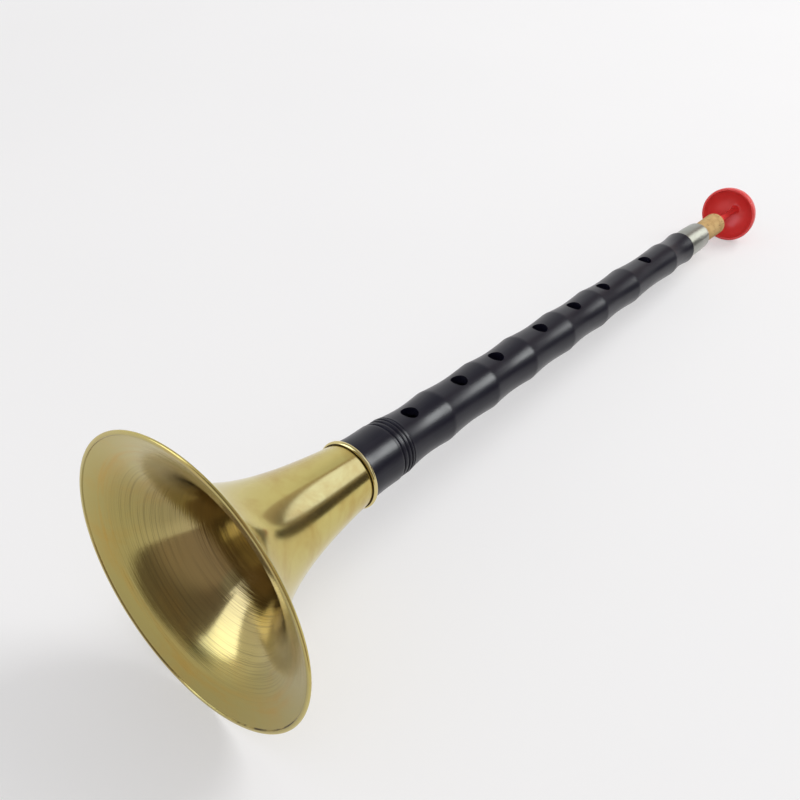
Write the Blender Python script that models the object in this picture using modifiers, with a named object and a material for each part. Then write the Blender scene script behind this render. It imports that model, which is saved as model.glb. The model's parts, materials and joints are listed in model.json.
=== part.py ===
"""A suona: brass bell, turned black pipe, cork-seated staple with a lip bowl, and a cane reed.

The pipe is built round its own axis, with stations counted from the front of the bell's rim
towards the reed. An empty then lays it down as it lies on a table, on the bell's rim and the
lip bowl's rim, with the finger holes facing up.
"""

import math

import bmesh
import bpy
from mathutils import Vector

mm = 0.001

# Fits
seat_gap = 0.3 * mm  # between pieces that touch

# Bell: a horn curve, spun from sheet and hemmed at the rim
bell_rim_radius = 54.0 * mm
bell_length = 74.0 * mm
bell_flare = 0.70  # exponent of the horn curve
bell_flare_reach = 10.8 * mm  # a short reach turns the lip out more sharply
bell_wall = 0.6 * mm
hem_width = 1.6 * mm
hem_thickness = 1.0 * mm
hem_proud = 0.4 * mm  # height of the hem over the lip inside it

# Ring round the bell's neck
ring_width = 2.0 * mm
ring_proud = 1.1 * mm
ring_collar = 0.35 * mm  # how far the ring narrows the neck

# Pipe
tenon_length = 28.7 * mm  # inside the bell, from the ring's outer end
tenon_end_land = 10.0 * mm  # bare wood beyond the bell cork
bell_cork_thickness = 1.0 * mm
shoulder_step = 0.85 * mm  # the pipe's shoulder over its tenon
foot_length = 16.6 * mm  # from the shoulder to the first turned step
foot_waist = 0.45 * mm  # how far the foot draws in
groove_depth = 0.65 * mm
bead_widths = (1.7 * mm, 1.3 * mm, 1.0 * mm)
groove_widths = (1.0 * mm, 0.8 * mm, 0.6 * mm, 0.6 * mm)
joint_lengths = (26.0, 31.5, 30.5, 33.8, 33.1, 35.1, 46.5, 22.6)  # in mm, each up to its crest
crest_radius_low = 11.4 * mm
crest_radius_top = 9.2 * mm
waist_radius_low = 10.55 * mm
waist_radius_top = 8.25 * mm
last_land = 2.2 * mm  # from the last crest to the cap
joint_hollow = 1.75  # exponent of the hollow between two crests
crest_round = 0.7 * mm
bore_radius_low = 8.0 * mm
bore_radius_top = 3.5 * mm

# Finger holes: each one's distance below its joint's crest, in mm
hole_setbacks = (16.3, 15.4, 19.0, 16.9, 19.1, 25.0, 24.8)
thumb_hole_joint = 6
thumb_hole_setback = 39.0
hole_radius = 3.6 * mm

# Cap on the pipe's top end
ferrule_length = 24.9 * mm
ferrule_wall = 0.45 * mm
ferrule_belly = 0.3 * mm
ferrule_corner = 2.4 * mm
spigot_wall = 0.65 * mm  # the wood under the cap, round the staple cork's mouth

# Staple and its cork
cork_radius_out = 6.5 * mm
cork_radius_mouth = 6.2 * mm
cork_radius_in = 5.6 * mm
cork_length_out = 25.3 * mm  # from the cap to the cork's outer end
cork_length_in = 11.5 * mm
cork_corner = 0.4 * mm
shank_radius = 2.4 * mm
shank_tail = 9.0 * mm  # below the cork
stem_radius = 1.9 * mm
stem_length = 20.8 * mm  # from the cork to the plane of the lip bowl's rim
staple_bore_low = 1.6 * mm
staple_bore_top = 1.0 * mm
bowl_radius = 16.8 * mm
bowl_depth = 14.5 * mm
bowl_wall = 1.5 * mm
bowl_root_round = 1.4 * mm
nipple_radius = 2.9 * mm
nipple_length = 2.2 * mm

# Tip tube, reed and its binding
tube_radius = 1.5 * mm
tube_wall = 0.35 * mm
tube_sunk = 9.0 * mm
tube_reach = 6.0 * mm
reed_length = 13.2 * mm
reed_wall = 0.8 * mm
reed_tip_wall = 0.45 * mm
reed_tip_width = 8.4 * mm
reed_tip_thickness = 1.5 * mm
reed_throat = 6.3 * mm  # length of the round root before the blades spread
binding_turns = 4
binding_wire = 0.4 * mm
binding_pitch = 0.85 * mm
binding_start = 1.0 * mm  # above the reed's root

# Faces round each turned piece
bell_sides = 48
pipe_sides = 28
bowl_sides = 36
tube_sides = 16
hole_sides = 20

# Stations along the axis
ring_start = bell_length + seat_gap
ring_end = ring_start + ring_width
tenon_end = ring_end - tenon_length
shoulder = ring_end + seat_gap
foot_end = shoulder + foot_length
joints_start = foot_end + sum(groove_widths) + sum(bead_widths)
crests = [joints_start + sum(joint_lengths[: i + 1]) * mm for i in range(len(joint_lengths))]
ferrule_start = crests[-1] + last_land
ferrule_end = ferrule_start + ferrule_length
pipe_top = ferrule_end - ferrule_corner  # the wood stops where the cap begins to round
cork_end = ferrule_end + cork_length_out
cork_start = ferrule_end - cork_length_in
socket_floor = cork_start - seat_gap
shank_end = cork_start - shank_tail
bowl_rim = cork_end + stem_length
bowl_floor = bowl_rim + bowl_depth
nipple_end = bowl_floor + bowl_wall + nipple_length
tube_start = nipple_end - tube_sunk
tube_end = nipple_end + tube_reach
reed_start = nipple_end + seat_gap
reed_end = reed_start + reed_length


def bell_radius(station):
    """Outer radius of the horn curve."""
    past_hem = station - hem_thickness / 2
    return bell_rim_radius * (bell_flare_reach / (past_hem + bell_flare_reach)) ** bell_flare


def bell_station(radius):
    """Where the horn curve has this outer radius."""
    past_hem = bell_flare_reach * ((bell_rim_radius / radius) ** (1 / bell_flare) - 1)
    return past_hem + hem_thickness / 2


def bell_slope(station):
    """Change of the horn's radius with its station, which is negative."""
    past_hem = station - hem_thickness / 2
    return -bell_flare * bell_radius(station) / (past_hem + bell_flare_reach)


neck_bore = bell_radius(bell_length) - bell_wall - ring_collar
tenon_radius = neck_bore - seat_gap
spigot_radius = cork_radius_mouth + seat_gap + spigot_wall
bell_cork_end = ring_end - seat_gap
bell_cork_start = tenon_end + tenon_end_land
shoulder_radius = tenon_radius + shoulder_step
reed_radius = tube_radius + seat_gap + reed_wall


def arc(centre_radius, centre_station, size, start, end, steps):
    """Points (radius, station) round a centre. Angles are in degrees from straight outwards."""
    points = []
    for i in range(steps + 1):
        angle = math.radians(start + (end - start) * i / steps)
        radius = centre_radius + size * math.cos(angle)
        points.append((radius, centre_station + size * math.sin(angle)))
    return points


def along(low, high, low_value, high_value, station):
    return low_value + (high_value - low_value) * (station - low) / (high - low)


def clear_scene():
    for obj in list(bpy.data.objects):
        bpy.data.objects.remove(obj, do_unlink=True)
    for collection in list(bpy.data.collections):
        bpy.data.collections.remove(collection)


def collection_of(name):
    collection = bpy.data.collections.new(name)
    bpy.context.scene.collection.children.link(collection)
    return collection


def material_of(name, colour, roughness, metallic=0.0):
    material = bpy.data.materials.new(name)
    material.use_nodes = True
    shader = material.node_tree.nodes["Principled BSDF"]
    shader.inputs["Base Color"].default_value = (*colour, 1.0)
    shader.inputs["Roughness"].default_value = roughness
    shader.inputs["Metallic"].default_value = metallic
    return material


def empty_at(name, parent, station=0.0):
    empty = bpy.data.objects.new(name, None)
    empty.empty_display_size = 0.02
    parts.objects.link(empty)
    empty.parent = parent
    empty.location = (0.0, 0.0, station)
    return empty


def turned(name, outline, sides, material, carrier):
    """A closed outline of (radius, station), outer side first from its high end, turned round the axis."""
    mesh = bpy.data.meshes.new(name)
    lift = carrier.location.z
    corners = [(radius, 0.0, station - lift) for radius, station in outline]
    edges = [(i, (i + 1) % len(corners)) for i in range(len(corners))]
    mesh.from_pydata(corners, edges, [])
    obj = bpy.data.objects.new(name, mesh)
    parts.objects.link(obj)
    obj.data.materials.append(material)
    obj.parent = carrier
    obj.rotation_euler.z = math.pi / sides  # a flat of the facets faces down
    screw = obj.modifiers.new("turn", "SCREW")
    screw.axis = "Z"
    screw.angle = 2 * math.pi
    screw.steps = sides
    screw.render_steps = sides
    screw.use_merge_vertices = True
    screw.merge_threshold = 0.00001
    screw.use_smooth_shade = True
    return obj


def settled(obj):
    """Bakes the modifiers into the mesh and keeps its corners crisp."""
    graph = bpy.context.evaluated_depsgraph_get()
    mesh = bpy.data.meshes.new_from_object(obj.evaluated_get(graph))
    obj.modifiers.clear()
    obj.data = mesh
    mesh.shade_smooth()
    mesh.set_sharp_from_angle(angle=math.radians(35))
    return obj


def bell_outline():
    """Outside from the neck to the hem, round the hem, and up the inside at one wall's distance."""
    flare_steps = 11
    hem_root = bell_rim_radius - hem_width
    radii = [bell_radius(bell_length)]
    growth = hem_root / radii[0]
    for i in range(1, flare_steps + 1):
        radii.append(radii[0] * growth ** (i / flare_steps))
    outside = [(radius, bell_station(radius)) for radius in radii]
    inside = []
    for radius, station in reversed(outside):
        slope = bell_slope(station)
        tilt = math.hypot(1.0, slope)
        inside.append((radius - bell_wall / tilt, station + bell_wall * slope / tilt))
    inside[-1] = (radii[0] - bell_wall, bell_length)
    roll = hem_thickness / 2
    hem = arc(bell_rim_radius - roll, roll, roll, 75, -90, 5)
    lip_edge = (hem_root + 0.2 * mm, 0.0)
    lip_foot = (hem_root - 0.1 * mm, min(hem_proud, inside[0][1] - 0.05 * mm))
    return outside + hem + [lip_edge, lip_foot] + inside[1:]


def ring_outline():
    middle = (ring_start + ring_end) / 2
    neck = bell_radius(bell_length)
    half = ring_width / 2
    bead = []
    for i in range(7):
        angle = math.radians(90 - 30 * i)
        swell = ring_proud * math.cos(angle)
        bead.append((neck + swell, middle + half * math.sin(angle)))
    return bead + [(neck_bore, ring_start), (neck_bore, ring_end)]


def pipe_joint(low, high, first):
    """Outline between two crests, as (radius, station) from the low end, without its ends' crests."""
    waist = (low + high) / 2
    waist_radius = along(crests[0], crests[-1], waist_radius_low, waist_radius_top, waist)
    low_radius = first or crest_radius(low)
    points = []
    for share in (0.0, 0.22, 0.50, 0.78, 1.0):
        station = low + crest_round + (high - low - 2 * crest_round) * share
        end_radius = low_radius if station < waist else crest_radius(high)
        reach = (abs(station - waist) / (waist - low)) ** joint_hollow
        points.append((waist_radius + (end_radius - waist_radius) * reach, station))
    return points


def crest_radius(station):
    return along(crests[0], crests[-1], crest_radius_low, crest_radius_top, station)


def pipe_outline():
    """The turned pipe, listed from its lower end and then turned over for the screw."""
    recess = tenon_radius - bell_cork_thickness
    outside = [
        (tenon_radius, tenon_end),
        (tenon_radius, bell_cork_start - seat_gap),
        (recess - seat_gap, bell_cork_start - seat_gap),
        (recess - seat_gap, shoulder),
        (shoulder_radius - 0.3 * mm, shoulder),
        (shoulder_radius, shoulder + 0.3 * mm),
    ]
    foot_radius = shoulder_radius - foot_waist
    for share in (0.35, 0.65, 0.90):
        draw = math.sin(math.pi * share) ** 2
        tilt = along(0.0, 1.0, shoulder_radius, foot_radius + foot_waist * 0.3, share)
        outside.append((tilt - foot_waist * 0.4 * draw, shoulder + foot_length * share))
    edge_radius = outside[-1][0]
    outside.append((edge_radius - 0.25 * mm, foot_end))
    station = foot_end
    for groove, bead in zip(groove_widths, bead_widths):
        bottom = edge_radius - groove_depth
        station += groove / 2
        outside.append((bottom, station))
        station += groove / 2
        outside.append((edge_radius - 0.25 * mm, station + bead * 0.2))
        outside.append((edge_radius - 0.25 * mm, station + bead * 0.8))
        station += bead
    outside.append((edge_radius - groove_depth, station + groove_widths[-1] / 2))
    start_radius = edge_radius - 0.4 * mm
    ends = [joints_start] + crests
    for i in range(len(crests)):
        first = start_radius if i == 0 else None
        outside += pipe_joint(ends[i], ends[i + 1], first)
        outside.append((crest_radius(ends[i + 1]), ends[i + 1]))
    under_cap = spigot_radius + ferrule_wall + seat_gap
    outside += [
        (crest_radius_top - 0.25 * mm, crests[-1] + crest_round),
        (under_cap, ferrule_start - seat_gap),
        (spigot_radius, ferrule_start - seat_gap),
        (spigot_radius, pipe_top - spigot_wall / 2),
        (spigot_radius - spigot_wall / 2, pipe_top),
    ]
    inside = [
        (cork_radius_at(pipe_top) + seat_gap, pipe_top),
        (cork_radius_at(cork_start) + seat_gap, socket_floor),
        (bore_radius_top, socket_floor),
        (bore_radius_low, tenon_end),
    ]
    return outside[::-1] + inside[::-1]


def cork_radius_at(station):
    if station > ferrule_end:
        return along(ferrule_end, cork_end, cork_radius_mouth, cork_radius_out, station)
    return along(cork_start, ferrule_end, cork_radius_in, cork_radius_mouth, station)


def ferrule_outline():
    """A barrel whose far corner rounds over the wood and stops at the hole for the cork."""
    inner = spigot_radius + seat_gap
    outer = inner + ferrule_wall
    hole = cork_radius_mouth + seat_gap
    corner_radius = outer - ferrule_corner
    corner_station = ferrule_end - ferrule_corner
    inner_corner = ferrule_corner - ferrule_wall
    outer_lip = math.degrees(math.acos((hole - corner_radius) / ferrule_corner))
    inner_lip = math.degrees(math.acos((hole - corner_radius) / inner_corner))
    outside = arc(corner_radius, corner_station, ferrule_corner, outer_lip, 0, 4)
    for share in (0.25, 0.5, 0.75):
        station = along(0.0, 1.0, corner_station, ferrule_start, share)
        belly = ferrule_belly * math.sin(math.pi * share)
        outside.append((outer + belly, station))
    under_corner = arc(corner_radius, corner_station, inner_corner, 0, inner_lip, 3)
    return outside + [(outer, ferrule_start), (inner, ferrule_start)] + under_corner


def sleeve_outline(start, end, start_radius, end_radius, hole, corner):
    """A plain tapered sleeve with broken outer corners."""
    return [
        (end_radius - corner, end),
        (end_radius, end - corner),
        (start_radius, start + corner),
        (start_radius - corner, start),
        (hole, start),
        (hole, end),
    ]


def cork_outline():
    hole = shank_radius + seat_gap
    rim = cork_radius_out - cork_corner
    return [
        (rim, cork_end),
        (cork_radius_out, cork_end - cork_corner),
        (cork_radius_mouth, ferrule_end),
        (cork_radius_in, cork_start + cork_corner),
        (cork_radius_in - cork_corner, cork_start),
        (hole, cork_start),
        (hole, cork_end),
    ]


def staple_outline():
    """Down the lip bowl's back, round its rim, up its inside to the stem, down the stem, and up the bore."""
    back_depth = bowl_depth + bowl_wall
    start_angle = math.acos(min(0.9, (nipple_radius + 0.4 * mm) / bowl_radius))
    lip = bowl_wall / 2
    back = []
    dome_steps = 8
    for i in range(dome_steps):
        angle = start_angle * (1 - i / dome_steps)
        station = bowl_rim + lip + (back_depth - lip) * math.sin(angle)
        back.append((bowl_radius * math.cos(angle), station))
    rim = arc(bowl_radius - lip, bowl_rim + lip, lip, 0, -180, 6)
    inner_radius = bowl_radius - bowl_wall
    root_reach = stem_radius + bowl_root_round
    root_angle = math.acos(root_reach / inner_radius)
    inside = []
    for i in range(1, dome_steps + 1):
        angle = root_angle * i / dome_steps
        station = bowl_rim + lip + (bowl_depth - lip) * math.sin(angle)
        inside.append((inner_radius * math.cos(angle), station))
    root_station = inside[-1][1] - bowl_root_round
    root = arc(root_reach, root_station, bowl_root_round, 120, 180, 3)
    cork_side = cork_end + 0.6 * mm
    stem = [
        (stem_radius, cork_side + 1.0 * mm),
        (shank_radius, cork_side),
        (shank_radius, shank_end + 0.5 * mm),
        (shank_radius - 0.4 * mm, shank_end),
    ]
    counterbore = tube_radius + seat_gap
    bore = [
        (staple_bore_low, shank_end),
        (staple_bore_top, tube_start - seat_gap),
        (counterbore, tube_start - seat_gap),
        (counterbore, nipple_end),
    ]
    nipple = [(nipple_radius - 0.3 * mm, nipple_end), (nipple_radius, nipple_end - 0.3 * mm)]
    return nipple + back + rim + inside + root + stem + bore


def oval_ring(bm, half_width, half_thickness, station, count):
    """One oval section of the reed, wide across the holes' direction."""
    ring = []
    for i in range(count):
        angle = 2 * math.pi * i / count
        place = (half_thickness * math.cos(angle), half_width * math.sin(angle), station)
        ring.append(bm.verts.new(place))
    return ring


def reed_sections():
    """(station, half width, half thickness, wall) from the reed's root to its tip."""
    sections = [(0.0, reed_radius, reed_radius, reed_wall)]
    spread_steps = 6
    for i in range(spread_steps + 1):
        share = i / spread_steps
        ease = share * share * (3 - 2 * share)
        station = reed_throat + (reed_length - reed_throat) * share
        half_width = reed_radius + (reed_tip_width / 2 - reed_radius) * ease
        half_thickness = reed_radius + (reed_tip_thickness / 2 - reed_radius) * ease
        wall = reed_wall + (reed_tip_wall - reed_wall) * ease
        sections.append((station, half_width, half_thickness, wall))
    return sections


def reed_blade(carrier, material):
    """A cane tube pressed flat: a loft from a round root to a wide thin tip, with its slit open."""
    count = 18
    bm = bmesh.new()
    outer = []
    inner = []
    for station, half_width, half_thickness, wall in reed_sections():
        outer.append(oval_ring(bm, half_width, half_thickness, station, count))
        inner.append(oval_ring(bm, half_width - wall, half_thickness - wall, station, count))
    walls = list(zip(outer, outer[1:])) + list(zip(inner, inner[1:]))
    walls += [(outer[0], inner[0]), (outer[-1], inner[-1])]
    for near, far in walls:
        for i in range(count):
            j = (i + 1) % count
            bm.faces.new((near[i], near[j], far[j], far[i]))
    bmesh.ops.recalc_face_normals(bm, faces=bm.faces)
    mesh = bpy.data.meshes.new("reed")
    bm.to_mesh(mesh)
    bm.free()
    mesh.shade_smooth()
    mesh.set_sharp_from_angle(angle=math.radians(35))
    obj = bpy.data.objects.new("reed", mesh)
    parts.objects.link(obj)
    obj.data.materials.append(material)
    obj.parent = carrier
    obj.location.z = reed_start - carrier.location.z
    return obj


def binding_wind(carrier, material):
    """Copper wire wound round the reed's root, as one open helix."""
    points_per_turn = 18
    wind_radius = reed_radius + seat_gap + binding_wire / 2
    total = binding_turns * points_per_turn
    points = []
    for i in range(total + 1):
        angle = 2 * math.pi * i / points_per_turn
        climb = binding_start + binding_pitch * i / points_per_turn
        station = reed_start + climb + binding_wire / 2 - carrier.location.z
        points.append(Vector((wind_radius * math.cos(angle), wind_radius * math.sin(angle), station)))
    gaps = [
        (points[i] - points[j]).length - binding_wire
        for i in range(len(points))
        for j in range(i + points_per_turn // 2, len(points))
    ]
    print("reed_binding: least gap to itself %.2f mm" % (min(gaps) / mm))
    curve = bpy.data.curves.new("reed_binding", "CURVE")
    curve.dimensions = "3D"
    curve.bevel_depth = binding_wire / 2
    curve.bevel_resolution = 1
    curve.use_fill_caps = True
    spline = curve.splines.new("POLY")
    spline.points.add(len(points) - 1)
    for slot, point in zip(spline.points, points):
        slot.co = (*point, 1.0)
    obj = bpy.data.objects.new("reed_binding", curve)
    parts.objects.link(obj)
    curve.materials.append(material)
    obj.parent = carrier
    return obj


def hole_cutter(name, station, side):
    """A drill across the pipe's wall. Side is -1 for the top and 1 for the back."""
    reach = shoulder_radius * 1.5
    bm = bmesh.new()
    bmesh.ops.create_cone(
        bm,
        cap_ends=True,
        segments=hole_sides,
        radius1=hole_radius,
        radius2=hole_radius,
        depth=reach,
    )
    mesh = bpy.data.meshes.new(name)
    bm.to_mesh(mesh)
    bm.free()
    obj = bpy.data.objects.new(name, mesh)
    cutters.objects.link(obj)
    obj.parent = pipe_axis
    obj.location = (side * reach / 2, 0.0, station)
    obj.rotation_euler.y = math.pi / 2
    obj.hide_render = True
    obj.display_type = "WIRE"
    return obj


def drill_holes(pipe):
    holes = [(crests[i] - setback * mm, -1) for i, setback in enumerate(hole_setbacks)]
    holes.append((crests[thumb_hole_joint] - thumb_hole_setback * mm, 1))
    for i, (station, side) in enumerate(holes):
        name = "finger_hole_%d" % (i + 1) if side < 0 else "thumb_hole"
        cut = pipe.modifiers.new(name, "BOOLEAN")
        cut.operation = "DIFFERENCE"
        cut.object = hole_cutter(name, station, side)


def lie_down():
    """Tilts the axis so that the bell's rim and the lip bowl's rim both touch the table."""
    bell_touch = bell_rim_radius * math.cos(math.pi / bell_sides)
    bowl_touch = bowl_radius * math.cos(math.pi / bowl_sides)
    bell_station_down = hem_thickness / 2
    bowl_station_down = bowl_rim + bowl_wall / 2
    tilt = math.atan2(bell_touch - bowl_touch, bowl_station_down - bell_station_down)
    height = bell_touch * math.cos(tilt) + bell_station_down * math.sin(tilt)
    front = -(bell_rim_radius - hem_thickness / 2) * math.sin(tilt)
    back = reed_end * math.cos(tilt) + reed_tip_thickness / 2 * math.sin(tilt)
    lie.location = (-(front + back) / 2, 0.0, height)
    lie.rotation_euler.y = math.pi / 2 + tilt


clear_scene()
parts = collection_of("suona")
cutters = collection_of("cutters")
lie = empty_at("lie", None)
lie_down()
pipe_axis = empty_at("pipe_axis", lie)
bell_axis = empty_at("bell_axis", lie)
staple_axis = empty_at("staple_axis", lie, ferrule_end)
reed_axis = empty_at("reed_axis", lie, nipple_end)

brass = material_of("spun brass", (0.56, 0.44, 0.17), 0.28, 1.0)
ring_brass = material_of("bright brass", (0.66, 0.52, 0.20), 0.18, 1.0)
black_wood = material_of("oiled blackwood", (0.022, 0.022, 0.026), 0.38)
silver = material_of("nickel silver", (0.50, 0.51, 0.47), 0.25, 1.0)
cork = material_of("cork", (0.56, 0.40, 0.18), 0.80)
lining = material_of("cork lining", (0.42, 0.28, 0.14), 0.85)
red_plastic = material_of("red plastic", (0.44, 0.024, 0.026), 0.22)
tube_brass = material_of("tube brass", (0.60, 0.46, 0.20), 0.25, 1.0)
cane = material_of("cane", (0.62, 0.47, 0.22), 0.55)
copper = material_of("copper wire", (0.62, 0.28, 0.16), 0.30, 1.0)

settled(turned("bell", bell_outline(), bell_sides, brass, bell_axis))
settled(turned("neck_ring", ring_outline(), bell_sides, ring_brass, bell_axis))

pipe = turned("body_tube", pipe_outline(), pipe_sides, black_wood, pipe_axis)
drill_holes(pipe)
bpy.context.view_layer.update()
settled(pipe)
lining_outline = sleeve_outline(
    bell_cork_start,
    bell_cork_end,
    tenon_radius,
    tenon_radius,
    tenon_radius - bell_cork_thickness,
    seat_gap,
)
settled(turned("bell_cork", lining_outline, pipe_sides, lining, pipe_axis))
settled(turned("top_ferrule", ferrule_outline(), pipe_sides, silver, pipe_axis))

settled(turned("staple_cork", cork_outline(), pipe_sides, cork, staple_axis))
settled(turned("staple", staple_outline(), bowl_sides, red_plastic, staple_axis))
tip_outline = sleeve_outline(
    tube_start, tube_end, tube_radius, tube_radius, tube_radius - tube_wall, tube_wall / 3
)
settled(turned("tip_tube", tip_outline, tube_sides, tube_brass, staple_axis))

reed_blade(reed_axis, cane)
binding_wind(reed_axis, copper)
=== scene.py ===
import json
import math

import bmesh
import bpy
from mathutils import Matrix, Vector


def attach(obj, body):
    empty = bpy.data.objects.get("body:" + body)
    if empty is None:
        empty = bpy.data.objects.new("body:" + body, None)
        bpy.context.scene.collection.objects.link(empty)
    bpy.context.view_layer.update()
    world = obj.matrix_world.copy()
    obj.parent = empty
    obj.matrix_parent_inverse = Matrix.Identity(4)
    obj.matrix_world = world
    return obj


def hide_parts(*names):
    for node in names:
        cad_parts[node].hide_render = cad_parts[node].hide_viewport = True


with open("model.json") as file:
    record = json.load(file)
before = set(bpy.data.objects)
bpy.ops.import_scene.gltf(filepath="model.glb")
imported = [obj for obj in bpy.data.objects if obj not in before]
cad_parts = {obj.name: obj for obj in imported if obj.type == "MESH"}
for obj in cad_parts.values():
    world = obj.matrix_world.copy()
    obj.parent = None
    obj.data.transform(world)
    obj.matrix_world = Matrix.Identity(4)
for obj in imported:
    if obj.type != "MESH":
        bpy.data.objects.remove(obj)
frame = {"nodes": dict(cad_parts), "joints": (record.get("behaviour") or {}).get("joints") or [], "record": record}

print("suona: frame loaded, pieces", ", ".join(sorted(frame["nodes"])))
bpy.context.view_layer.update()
scene = bpy.context.scene
mm = 0.001

# The pipe's own line: where the bell's mouth is, and which way the reed lies from there
pipeLine = dict(faceRadius=52.936 * mm)  # of the mount point on the bell's rim face
slide = next(j for j in frame["joints"] if j["name"] == "staple_slide")
pipeAlong = Vector(slide["axis"]).normalized()
pipeTilt = math.atan2(-pipeAlong.z, pipeAlong.x)  # the pipe dips by this towards the reed
pipeUp = Vector((math.sin(pipeTilt), 0.0, math.cos(pipeTilt)))
rimFace = next(m for m in frame["record"]["mounts"] if m["name"] == "bell_rim_face")
pipeStart = Vector(rimFace["pos_m"]) - pipeUp * pipeLine["faceRadius"]
pipeFrame = Matrix.Translation(pipeStart) @ Matrix.Rotation(pipeTilt, 4, "Y")  # X runs along the pipe


class Wire:
    # A socket in a node tree. Sums on wires add Math nodes to the tree.
    def __init__(self, board, socket):
        self.board = board
        self.socket = socket

    def math(self, operation, *others):
        node = self.board.node("ShaderNodeMath", dict(operation=operation), (self, *others))
        return self.board.wire(node)

    def __add__(self, other):
        return self.math("ADD", other)

    def __radd__(self, other):
        return self.math("ADD", other)

    def __sub__(self, other):
        return self.math("SUBTRACT", other)

    def __rsub__(self, other):
        return self.board.number(other).math("SUBTRACT", self)

    def __mul__(self, other):
        return self.math("MULTIPLY", other)

    def __rmul__(self, other):
        return self.math("MULTIPLY", other)

    def __truediv__(self, other):
        return self.math("DIVIDE", other)

    def __rtruediv__(self, other):
        return self.board.number(other).math("DIVIDE", self)

    def floor(self):
        return self.math("FLOOR")

    def root(self):
        return self.math("SQRT")

    def least(self, other):
        return self.math("MINIMUM", other)

    def most(self, other):
        return self.math("MAXIMUM", other)

    def rise(self, low, high):
        # 0 below low, 1 above high, smooth between
        settings = dict(interpolation_type="SMOOTHSTEP")
        node = self.board.node("ShaderNodeMapRange", settings, {0: self, 1: low, 2: high, 3: 0.0, 4: 1.0})
        return self.board.wire(node)

    def near(self, middle, reach):
        # 1 at middle, 0 from reach away
        return 1 - (self - middle).math("ABSOLUTE").rise(0.0, reach)


class Board:
    # A node tree that is being wired.
    def __init__(self, tree):
        self.tree = tree

    def node(self, kind, settings=None, values=()):
        made = self.tree.nodes.new(kind)
        for name, value in (settings or {}).items():
            setattr(made, name, value)
        pairs = values.items() if isinstance(values, dict) else enumerate(values)
        for key, value in pairs:
            self.plug(made.inputs[key], value)
        return made

    def plug(self, socket, value):
        if isinstance(value, Wire):
            self.tree.links.new(value.socket, socket)
        elif socket.type == "RGBA" and len(value) == 3:
            socket.default_value = (*value, 1.0)
        else:
            socket.default_value = value

    def wire(self, node, output=0):
        return Wire(self, node.outputs[output])

    def number(self, value):
        node = self.node("ShaderNodeValue")
        node.outputs[0].default_value = value
        return self.wire(node)

    def mixColour(self, share, first, second):
        # Sockets 0, 6 and 7 are the factor and the two colours, and output 2 is the mixed one
        settings = dict(data_type="RGBA")
        return self.wire(self.node("ShaderNodeMix", settings, {0: share, 6: first, 7: second}), 2)

    def split(self, vector):
        parts = self.node("ShaderNodeSeparateXYZ", None, [vector])
        return [self.wire(parts, i) for i in range(3)]

    def join(self, x, y, z):
        return self.wire(self.node("ShaderNodeCombineXYZ", None, [x, y, z]))

    def noise(self, vector, scale, detail=3.0, roughness=0.5, distortion=0.0):
        values = {"Vector": vector, "Scale": scale, "Detail": detail, "Roughness": roughness}
        values["Distortion"] = distortion
        return self.wire(self.node("ShaderNodeTexNoise", None, values))

    def noiseLine(self, place, scale, detail=2.0):
        settings = dict(noise_dimensions="1D")
        values = {"W": place, "Scale": scale, "Detail": detail}
        return self.wire(self.node("ShaderNodeTexNoise", settings, values))

    def attribute(self, name):
        return self.wire(self.node("ShaderNodeAttribute", dict(attribute_name=name)), "Fac")


class Finish(Board):
    # One material, with the coordinates that its patterns use
    def __init__(self, name):
        self.material = bpy.data.materials.new(name)
        self.material.use_nodes = True
        super().__init__(self.material.node_tree)
        self.shader = self.tree.nodes["Principled BSDF"]
        place = self.wire(self.node("ShaderNodeTexCoord"), "Object")
        settings = dict(vector_type="TEXTURE")
        values = {"Vector": place, "Location": pipeStart, "Rotation": (0.0, pipeTilt, 0.0)}
        self.place = self.wire(self.node("ShaderNodeMapping", settings, values))
        self.station, self.across, self.height = self.split(self.place)
        self.radius = (self.across * self.across + self.height * self.height).root()

    def set(self, **values):
        for name, value in values.items():
            self.plug(self.shader.inputs[name.replace("_", " ")], value)

    def stretched(self, alongScale, acrossScale):
        # Object space squeezed so that noise draws out along or across the pipe
        return self.join(self.station * alongScale, self.across * acrossScale, self.height * acrossScale)

    def ringed(self, along, alongScale, roundScale):
        # A place that runs with the pipe one way and round it the other, for marks of the lathe
        across = self.across / self.radius * roundScale
        return self.join(along * alongScale, across, self.height / self.radius * roundScale)

    def bump(self, height, distance, strength=1.0):
        values = {"Height": height, "Distance": distance, "Strength": strength}
        bumped = self.wire(self.node("ShaderNodeBump", None, values))
        self.plug(self.shader.inputs["Normal"], bumped)
        return self


# Spun brass

spunBrass = dict(
    clean=(0.60, 0.505, 0.168),
    # Brass for the inside of the bell, darker than the outside: painted shade
    lip=(0.450, 0.370, 0.120),
    amber=(0.50, 0.345, 0.085),
    # Darker brass deep in the throat: painted shade
    throat=(0.40, 0.31, 0.17),
    # Dark colour laid into the fine grooves of the throat, the hem's fold seam and the neck's end: painted shade,
    # with grime in the seam too
    grimeAndShade=(0.045, 0.026, 0.012),
    outsideRoughness=0.15,
    insideRoughness=0.115,
    cloudScale=42.0,
    stainRings=420.0,
    stainRadius=45.5 * mm,
    stainReach=5.0 * mm,
    throatShadeRadii=(17 * mm, 42 * mm),  # darker up to the first, not at all from the second
    scoredRadii=(36 * mm, 48 * mm),  # scored up to the first, not at all from the second
    fineGrooves=3400.0,
    broadGrooves=420.0,
    grooveDepth=0.055 * mm,
    seamRadius=52.3 * mm,
    seamWidth=0.34 * mm,
    # Painted shade at the neck's end by the ring, between these stations
    neckShade=(74.06 * mm, 74.21 * mm),
)


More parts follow.
